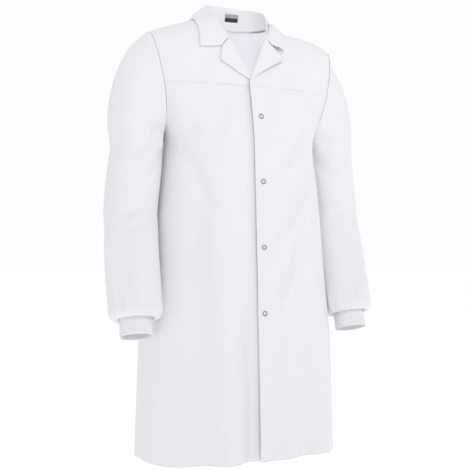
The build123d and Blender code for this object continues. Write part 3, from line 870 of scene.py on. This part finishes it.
collar_points = collar_grid()
collar = grid_object("collar", collar_points, thickness=COLLAR_CLOTH, corners=TIP_CORNERS)

# ---------------------------------------------------------------- label, snaps and stitches
LABEL_X = 12.0
STAND_INSIDE_Y = 54.0      # where a ray misses the stand


def label_grid(width, top, height, offset):
    """A patch on the inside of the collar's stand at the back of the neck."""
    stand = mesh_tree(collar)
    rows = []
    for z in np.linspace(top, top - height, 10):
        line = []
        for x in LABEL_X + np.linspace(-width / 2, width / 2, 14):
            found = hit(stand, (x, 0.0, z), (0, 1, 0))
            line.append((x, (STAND_INSIDE_Y if found is None else found[1]) - offset, z))
        rows.append(line)
    return np.array(rows)


# sections of the snap's parts: radius, height over the cloth
RING_SECTION = ((3.7, 0.1), (3.6, 0.7), (4.0, 1.15), (4.8, 1.4), (5.7, 1.25), (6.2, 0.7), (6.1, 0.1),
                (4.8, -0.2))
SOCKET_SECTION = ((2.3, 0.0), (2.2, 1.2), (2.6, 1.7), (3.4, 1.5), (4.3, 1.0), (5.2, 0.8), (5.3, 0.1),
                  (3.6, -0.1))
STUD_SECTION = ((0.01, 2.0), (0.9, 2.0), (1.5, 1.7), (1.75, 1.2), (1.45, 0.8), (2.4, 0.6), (4.9, 0.5),
                (5.3, 0.1), (3.6, -0.1), (0.01, -0.1))
SNAP_SIDES = 40
PLY_DEPTH = 1.4            # how far inside the outer cloth the inner parts sit


def lathe(section, centre, normal, closed):
    """Rows of points of a round part turned about a normal at a centre."""
    x_dir = unit(np.cross(normal, [0, 0, 1.0]))
    y_dir = np.cross(normal, x_dir)
    turns = np.linspace(0, 2 * pi, SNAP_SIDES, endpoint=False)
    rows = [centre + normal * h + r * (np.cos(turns)[:, None] * x_dir + np.sin(turns)[:, None] * y_dir)
            for r, h in section]
    if closed:
        rows.append(rows[0])
    return np.array(rows)


def snap_object(name, cloth_tree, heights, section, inside):
    """One part of each snap at the given heights, outside or inside a front."""
    start_y, direction, depth = (-60.0, (0, -1, 0), PLY_DEPTH) if inside else (-400.0, (0, 1, 0), 0.0)
    vertices, faces = [], []
    for z in heights:
        place = hit(cloth_tree, (0.0, start_y, z), direction)
        if place is None:
            continue
        normal = outward(np.array([place]))[0] * (-1 if inside else 1)
        rows = lathe(section, place + normal * depth, normal, section is not STUD_SECTION)
        base = len(vertices)
        faces += [[i + base for i in f] for f in grid_faces(len(rows), SNAP_SIDES, True)]
        vertices.extend(rows.reshape(-1, 3))
    return make_object(name, vertices, faces)


neck_label = grid_object("blank_label", label_grid(36, 43, 29, 0.5), flip=True, thickness=0.4)
label_bands = [grid_object("label_pale_band", label_grid(34, 42, 8, 1.1), flip=True, thickness=0.3),
               grid_object("label_dark_band", label_grid(33, 33.5, 10, 1.1), flip=True, thickness=0.3)]
LEFT, RIGHT = mesh_tree(left_front), mesh_tree(right_front)
# name, the front it is set in, which snaps, section, on the inside, CAD node, body that it moves with
SNAPS = [(snap_object(name, *shape), node, body) for name, *shape, node, body in (
    ("snap_ring_top", LEFT, SNAP_Z[:1], RING_SECTION, False, "top_snap_cap", "coat_body"),
    ("snap_rings_lower", LEFT, SNAP_Z[1:], RING_SECTION, False, "lower_snap_caps", "left_front"),
    ("snap_socket_top", LEFT, SNAP_Z[:1], SOCKET_SECTION, True, "top_snap_socket", "coat_body"),
    ("snap_sockets_lower", LEFT, SNAP_Z[1:], SOCKET_SECTION, True, "lower_snap_sockets", "left_front"),
    ("snap_studs_upper", RIGHT, SNAP_Z[:2], STUD_SECTION, False, "upper_snap_studs", "coat_body"),
    ("snap_studs_lower", RIGHT, SNAP_Z[2:], STUD_SECTION, False, "lower_snap_studs", "right_front"),
    ("snap_back_rings_upper", RIGHT, SNAP_Z[:2], RING_SECTION, True, "upper_snap_back_rings", "coat_body"),
    ("snap_back_rings_lower", RIGHT, SNAP_Z[2:], RING_SECTION, True, "lower_snap_back_rings", "right_front"),
)]


def snaps_on(body):
    return [obj for obj, _, on in SNAPS if on == body]


STITCH_PITCH = 3.3
STITCH_LENGTH = 2.5
STITCH_WIDTH = 0.62
STITCH_HEIGHT = 0.34
STITCH_SINK = 0.12
STITCH_INNER = 0.28        # share of its length from a stitch's middle to its full width
STITCH_REACH = 6.0
STITCH_FACES = ((0, 1, 3), (0, 3, 2), (1, 4, 6, 3), (3, 6, 5, 2), (4, 7, 6), (6, 7, 5), (0, 2, 1),
                (1, 2, 5, 4), (4, 5, 7))
sewn = {}


def sew(obj, *lines):
    """Rows of small raised stitches laid on the outside of a finished piece of cloth."""
    cloth_tree = mesh_tree(obj)
    vertices, faces = [], []
    for line in lines:
        run = lengths(line)
        count = int(run[-1] / STITCH_PITCH)
        places = at_lengths(line, np.linspace(0, run[-1], count + 1))
        for start, end in zip(places[:-1], places[1:]):
            middle = (start + end) / 2
            direction = end - start
            size = np.linalg.norm(direction)
            if size < 1e-6 or size > 3 * STITCH_PITCH:
                continue
            direction /= size
            place, normal, _, _ = cloth_tree.find_nearest(Vector(middle) * MM, STITCH_REACH * MM)
            if place is None:
                continue
            place, normal = np.array(place) / MM, np.array(normal)
            side = np.cross(normal, direction)
            side /= max(np.linalg.norm(side), 1e-6)
            base = len(vertices)
            half, wide = direction * STITCH_LENGTH / 2, side * STITCH_WIDTH / 2
            top = normal * STITCH_HEIGHT
            inner = direction * STITCH_LENGTH * STITCH_INNER
            sink = -normal * STITCH_SINK
            vertices.extend([place - half + sink, place - inner - wide + sink, place - inner + wide + sink,
                             place - inner + top, place + inner - wide + sink, place + inner + wide + sink,
                             place + inner + top, place + half + sink])
            faces.extend([[base + i for i in f] for f in STITCH_FACES])
    name = obj.name.replace("_cloth", "") + "_stitches"
    sewn[obj.name] = make_object(name, vertices, faces, smooth_shade=False)


HEM_STITCH = 19.0
EDGE_STITCH = 6.0
SEAM_STITCH = 5.0
YOKE_STITCH = 3.5
PANEL_STITCH = 2.5
for obj, grid in ((left_front, left_grid), (right_front, right_grid)):
    sew(obj, inset_line(grid[LOWER], "low", HEM_STITCH), inset_line(grid[LOWER], "first", EDGE_STITCH),
        inset_line(grid[LOWER], "first", FACING_WIDTH), inset_line(grid[LOWER], "high", PANEL_STITCH))
CHEST = slice(SEAM_ROW - CHEST_ROWS, SEAM_ROW + 1)
sew(back, inset_line(back_grid[LOWER], "low", HEM_STITCH), inset_line(back_grid[LOWER], "high", PANEL_STITCH),
    inset_line(back_grid[CHEST], "first", SEAM_STITCH), inset_line(back_grid[CHEST], "last", SEAM_STITCH))
SHOULDER_COL = V_COLS + NECK_COLS
for obj, grid, first in ((left_yoke, left_grid, SHOULDER_COL), (right_yoke, right_grid, SHOULDER_COL + 2)):
    sew(obj, inset_line(grid[UPPER], "low", YOKE_STITCH), inset_line(grid[UPPER], "last", SEAM_STITCH),
        inset_line(grid[UPPER][:, first:], "high", SEAM_STITCH))
sew(upper_back, inset_line(back_grid[UPPER], "low", YOKE_STITCH),
    inset_line(back_grid[UPPER], "first", SEAM_STITCH), inset_line(back_grid[UPPER], "last", SEAM_STITCH))
sew(collar, inset_line(collar_points[LEAF], "high", EDGE_STITCH), collar_points[12:-1, 4],
    collar_points[12:-1, -5])
sew(left_lapel, inset_line(left_lapel_grid, "last", EDGE_STITCH))
sew(right_lapel, inset_line(right_lapel_grid, "last", EDGE_STITCH))


# ---------------------------------------------------------------- materials
def nodes_of(name):
    material = bpy.data.materials.new(name)
    material.use_nodes = True
    tree = material.node_tree
    return material, tree, tree.nodes["Principled BSDF"]


def set_inputs(node, values):
    for key, value in values.items():
        node.inputs[key].default_value = value


def add_node(tree, kind, inputs=None, **settings):
    node = tree.nodes.new(kind)
    set_inputs(node, inputs or {})
    for key, value in settings.items():
        setattr(node, key, value)
    return node


def add_bump(tree, shader, source, strength, distance):
    bump = add_node(tree, "ShaderNodeBump", {"Strength": strength, "Distance": distance})
    tree.links.new(source, bump.inputs["Height"])
    tree.links.new(bump.outputs["Normal"], shader.inputs["Normal"])


def tint(tree, shader, low, high, scale, source):
    """Slight colour variation between two colours; returns its noise."""
    noise = add_node(tree, "ShaderNodeTexNoise", {"Scale": scale, "Detail": 3.0})
    ramp = add_node(tree, "ShaderNodeValToRGB")
    ramp.color_ramp.elements[0].color, ramp.color_ramp.elements[1].color = (*low, 1), (*high, 1)
    ramp.color_ramp.elements[0].position, ramp.color_ramp.elements[1].position = 0.3, 0.7
    tree.links.new(source, noise.inputs["Vector"])
    tree.links.new(noise.outputs["Fac"], ramp.inputs["Fac"])
    tree.links.new(ramp.outputs["Color"], shader.inputs["Base Color"])
    return noise


def rough_range(tree, shader, noise, low, high):
    spread_node = add_node(tree, "ShaderNodeMapRange", {"To Min": low, "To Max": high})
    tree.links.new(noise.outputs["Fac"], spread_node.inputs["Value"])
    tree.links.new(spread_node.outputs["Result"], shader.inputs["Roughness"])


def cloth_material(name, low, high, weave, depth, sheen=0.25, roughness=(0.8, 0.92), ribbed=False):
    """A woven or ribbed cloth: crossing threads, slubs, slight colour and gloss variation."""
    material, tree, shader = nodes_of(name)
    set_inputs(shader, {"Sheen Weight": sheen, "Sheen Roughness": 0.45, "Specular IOR Level": 0.25})
    coordinates = add_node(tree, "ShaderNodeTexCoord")
    uv = coordinates.outputs["UV" if weave else "Object"]
    noise = tint(tree, shader, low, high, 240.0 if weave else 160.0, uv)
    rough_range(tree, shader, noise, *roughness)
    if weave:
        threads = []
        for direction in ("X", "Y"):
            wave = add_node(tree, "ShaderNodeTexWave", bands_direction=direction,
                            inputs={"Scale": weave, "Distortion": 0.6, "Detail Scale": 2.0})
            tree.links.new(uv, wave.inputs["Vector"])
            threads.append(wave)
        mix = add_node(tree, "ShaderNodeMath", operation="MULTIPLY" if not ribbed else "MAXIMUM")
        for slot_index, wave in enumerate(threads):
            tree.links.new(wave.outputs["Fac"], mix.inputs[slot_index])
        height = mix.outputs["Value"]
    else:
        height = noise.outputs["Fac"]
    slub = add_node(tree, "ShaderNodeTexNoise", {"Scale": 420.0, "Detail": 4.0})
    tree.links.new(uv, slub.inputs["Vector"])
    total = add_node(tree, "ShaderNodeMath", operation="MULTIPLY_ADD")
    total.inputs[1].default_value = 0.6
    tree.links.new(slub.outputs["Fac"], total.inputs[0])
    tree.links.new(height, total.inputs[2])
    add_bump(tree, shader, total.outputs["Value"], depth, 0.0003)
    return material


def metal_material(name):
    """Polished plating with a faint unevenness."""
    material, tree, shader = nodes_of(name)
    shader.inputs["Metallic"].default_value = 1.0
    coordinates = add_node(tree, "ShaderNodeTexCoord")
    noise = tint(tree, shader, (0.30, 0.30, 0.32), (0.42, 0.43, 0.45), 900.0, coordinates.outputs["Object"])
    rough_range(tree, shader, noise, 0.2, 0.36)
    add_bump(tree, shader, noise.outputs["Fac"], 0.1, 0.0002)
    return material


WHITE_LOW, WHITE_HIGH = (0.835, 0.832, 0.862), (0.86, 0.857, 0.885)
poplin = cloth_material("poplin", WHITE_LOW, WHITE_HIGH, 620.0, 0.35)
knit = cloth_material("rib_knit", (0.83, 0.83, 0.86), (0.87, 0.87, 0.895), 380.0, 0.5, sheen=0.4, ribbed=True)
thread = cloth_material("thread", (0.78, 0.78, 0.81), (0.85, 0.85, 0.88), 0, 0.3, sheen=0.1,
                        roughness=(0.55, 0.7))
satin, dark_satin, grey_satin = (
    cloth_material(name, low, high, 900.0, 0.3, roughness=(0.4, 0.5)) for name, low, high in (
        ("label_satin", (0.84, 0.84, 0.86), (0.88, 0.88, 0.9)),
        ("label_dark", (0.03, 0.03, 0.035), (0.06, 0.06, 0.065)),
        ("label_grey", (0.36, 0.36, 0.38), (0.44, 0.44, 0.46))))
nickel = metal_material("nickel")

CLOTH_PIECES = (left_front, right_front, back, left_yoke, right_yoke, upper_back, left_facing, right_facing,
                left_upper, right_upper, left_lower, right_lower, collar, left_lapel, right_lapel)
for objects, material in ((CLOTH_PIECES, poplin), ((left_cuff, right_cuff), knit), (sewn.values(), thread),
                          ([snap[0] for snap in SNAPS], nickel), ((neck_label,), satin),
                          (label_bands[:1], grey_satin), (label_bands[1:], dark_satin)):
    for obj in objects:
        obj.data.materials.append(material)


# ---------------------------------------------------------------- how the pieces move
def m(*values):
    return tuple(v * MM for v in values)


def with_stitches(*objects):
    """Pieces, each with its stitches."""
    return [part for obj in objects for part in (obj, sewn.get(obj.name)) if part]


for obj in (*with_stitches(left_front), left_facing, *snaps_on("left_front")):
    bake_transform(obj)
for obj in (*with_stitches(right_front), right_facing, *snaps_on("right_front")):
    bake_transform(obj)
for side, upper, lower, cuff, lapel, top, gorge in (
        (1, left_upper, left_lower, left_cuff, left_lapel, LEFT_TOP, LEFT_GORGE),
        (-1, right_upper, right_lower, right_cuff, right_lapel, RIGHT_TOP, RIGHT_GORGE)):
    label = SIDE_NAMES[side]
    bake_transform(upper)
    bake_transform(lower)
    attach(cuff, label + "_forearm")
    for obj in with_stitches(lapel):
        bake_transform(obj)
for obj in (*with_stitches(back, left_yoke, right_yoke, upper_back, collar), neck_label, *label_bands,
            *snaps_on("coat_body")):
    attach(obj, "coat_body")

# each piece and the CAD nodes that it stands for
for obj, *nodes in (
        (left_front, "left_front_side", "left_front_flap"),
        (right_front, "right_front_side", "right_front_flap"),
        (left_facing, "left_facing_top", "left_facing_bottom"),
        (right_facing, "right_facing_top", "right_facing_bottom"),
        (left_yoke, "left_front_yoke"), (right_yoke, "right_front_yoke"), (back, "back_panel"),
        (upper_back, "back_yoke"), (collar, "collar_stand", "collar_leaf"), (left_lapel, "left_lapel"),
        (right_lapel, "right_lapel"), (neck_label, "neck_label"), (left_upper, "left_upper_sleeve"),
        (right_upper, "right_upper_sleeve"), (left_lower, "left_lower_sleeve"),
        (right_lower, "right_lower_sleeve"), (left_cuff, "left_cuff"), (right_cuff, "right_cuff"),
        *((snap, node) for snap, node, _ in SNAPS)):
    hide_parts(*nodes)


# ---------------------------------------------------------------- floor, light and camera
FLOOR_Z = -1220.0
FLOOR_REACH = 40000.0
WORLD_FRONT, WORLD_BACK = 0.52, 1.0


def stage_floor():
    """A wide pale floor below the hem."""
    ticks = np.linspace(-FLOOR_REACH, FLOOR_REACH, 9)
    grid = np.array([[(x, y, FLOOR_Z) for x in ticks] for y in ticks])
    obj = make_object("floor", grid.reshape(-1, 3), grid_faces(*grid.shape[:2]))
    material, _, shader = nodes_of("floor")
    set_inputs(shader, {"Base Color": (0.97, 0.97, 0.97, 1), "Emission Color": (1, 1, 1, 1),
                        "Emission Strength": 0.3, "Roughness": 0.95, "Specular IOR Level": 0.0})
    obj.data.materials.append(material)


def area_light(name, place, target, size, power, colour=(1, 1, 1)):
    data = bpy.data.lights.new(name, "AREA")
    data.shape = "DISK"
    data.size = size
    data.energy = power
    data.color = colour
    obj = bpy.data.objects.new(name, data)
    obj.location = place
    obj.rotation_euler = (Vector(target) - Vector(place)).to_track_quat("-Z", "Y").to_euler()
    bpy.context.scene.collection.objects.link(obj)


def lights():
    """A world brighter behind the coat than in front of it, and four soft lamps."""
    world = bpy.data.worlds.new("studio")
    bpy.context.scene.world = world
    world.use_nodes = True
    background = world.node_tree.nodes["Background"]
    tree = world.node_tree
    coordinates = add_node(tree, "ShaderNodeTexCoord")
    split = add_node(tree, "ShaderNodeSeparateXYZ")
    ramp = add_node(tree, "ShaderNodeMapRange", {
        "From Min": -0.25, "From Max": 0.45, "To Min": WORLD_FRONT, "To Max": WORLD_BACK})
    background.inputs["Color"].default_value = (0.985, 0.985, 1.0, 1)
    tree.links.new(coordinates.outputs["Generated"], split.inputs["Vector"])
    tree.links.new(split.outputs["Y"], ramp.inputs["Value"])
    tree.links.new(ramp.outputs["Result"], background.inputs["Strength"])
    area_light("key", (-0.6, -2.9, 1.9), (0, 0, -0.5), 0.9, 33, (1, 0.995, 0.985))
    area_light("rim", (2.8, -0.9, 0.5), (0, 0, -0.5), 1.2, 8)
    area_light("top", (-0.1, -0.7, 1.5), (0, 0.1, -0.1), 0.7, 3)
    area_light("inner", (0.0, -0.03, -0.42), (0, 0.03, 0.1), 0.12, 0.5)
    bpy.context.scene.view_settings.view_transform = "Standard"


CAMERA_PLACE = (-0.9206, -1.8955, -0.55)
CAMERA_TURN = 26.0
FOCAL_PIXELS = 877.0
FRAME_PIXELS = 470.0
SHIFT_PIXELS = (-3.0, 20.0)


def camera():
    data = bpy.data.cameras.new("camera")
    data.sensor_width = 36.0
    data.lens = FOCAL_PIXELS / FRAME_PIXELS * data.sensor_width
    data.shift_x = SHIFT_PIXELS[0] / FRAME_PIXELS
    data.shift_y = SHIFT_PIXELS[1] / FRAME_PIXELS
    data.clip_end = 60.0
    obj = bpy.data.objects.new("camera", data)
    obj.location = CAMERA_PLACE
    obj.rotation_euler = (radians(90), 0, -radians(CAMERA_TURN))
    bpy.context.scene.collection.objects.link(obj)
    bpy.context.scene.camera = obj


stage_floor()
lights()
camera()
